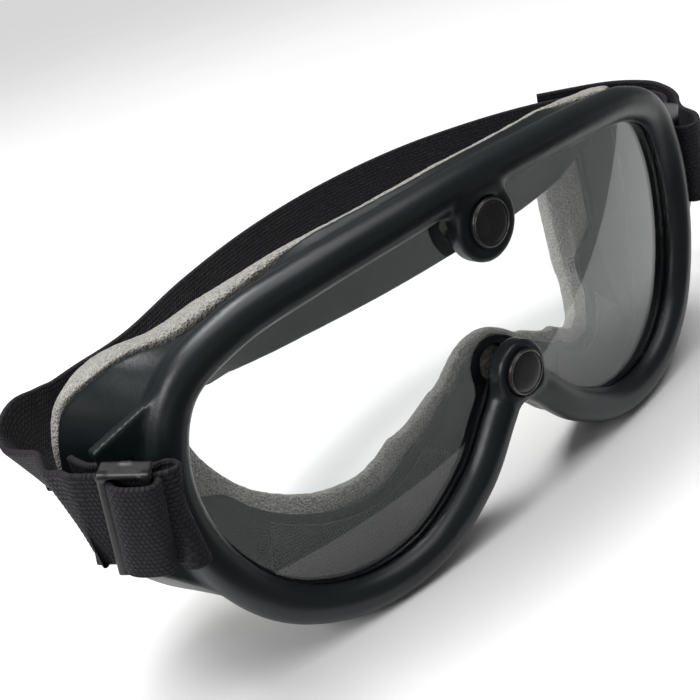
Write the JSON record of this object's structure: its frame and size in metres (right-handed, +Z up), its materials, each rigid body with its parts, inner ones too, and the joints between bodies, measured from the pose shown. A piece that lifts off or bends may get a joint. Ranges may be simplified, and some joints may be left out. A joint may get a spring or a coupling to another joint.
{
  "type": "wrap-around safety goggles",
  "caption": "Wrap-around goggles: thick round-rimmed frame, clear curved lens snapped at brow and nose, foam face pad, elastic headband with tri-glide slide.",
  "frame": {"origin": "middle of the seat that the face pad offers to the wearer, on the plane of symmetry of the frame", "axes": "X across the face with the wearer's left at +X, +Y from the lens towards the face, +Z up"},
  "size_m": [0.2204, 0.0931, 0.0874],
  "materials": {
    "moulded_frame": "satin black soft moulding",
    "clear_lens": "clear polished sheet",
    "foam": "open-cell grey foam",
    "vent_cloth": "fine black woven screen",
    "black_cap": "black enamelled cap with worn edge",
    "snap_metal": "dull plated metal",
    "webbing": "ribbed elastic webbing",
    "slide_plastic": "semi-gloss black plastic"
  },
  "bodies": {
    "goggles": {"frame": "moulded_frame", "lens": "clear_lens", "face_pad": "foam", "lower_vent_screen_left": "vent_cloth", "lower_vent_screen_right": "vent_cloth", "brow_snap_cap": "black_cap", "brow_snap_socket": "snap_metal", "brow_snap_stud": "snap_metal", "brow_snap_eyelet": "snap_metal", "nose_snap_cap": "black_cap", "nose_snap_socket": "snap_metal", "nose_snap_stud": "snap_metal", "nose_snap_eyelet": "snap_metal", "strap_end_left": "webbing", "strap_end_right": "webbing"},
    "headband": {"headband": "webbing", "headband_tail": "webbing"},
    "slide": {"strap_slide": "slide_plastic"}
  },
  "joints": [
    {"name": "headband_swing", "type": "hinge", "parent": "goggles", "child": "headband", "pos_m": [0, -0.00403, 0.0058], "axis": [1, 0, 0], "range_deg": [-30, 30]},
    {"name": "slide_travel", "type": "slide", "parent": "goggles", "child": "slide", "axis": [-0.7226, 0.6506, 0.2334], "range_m": [0, 0.003]}
  ]
}
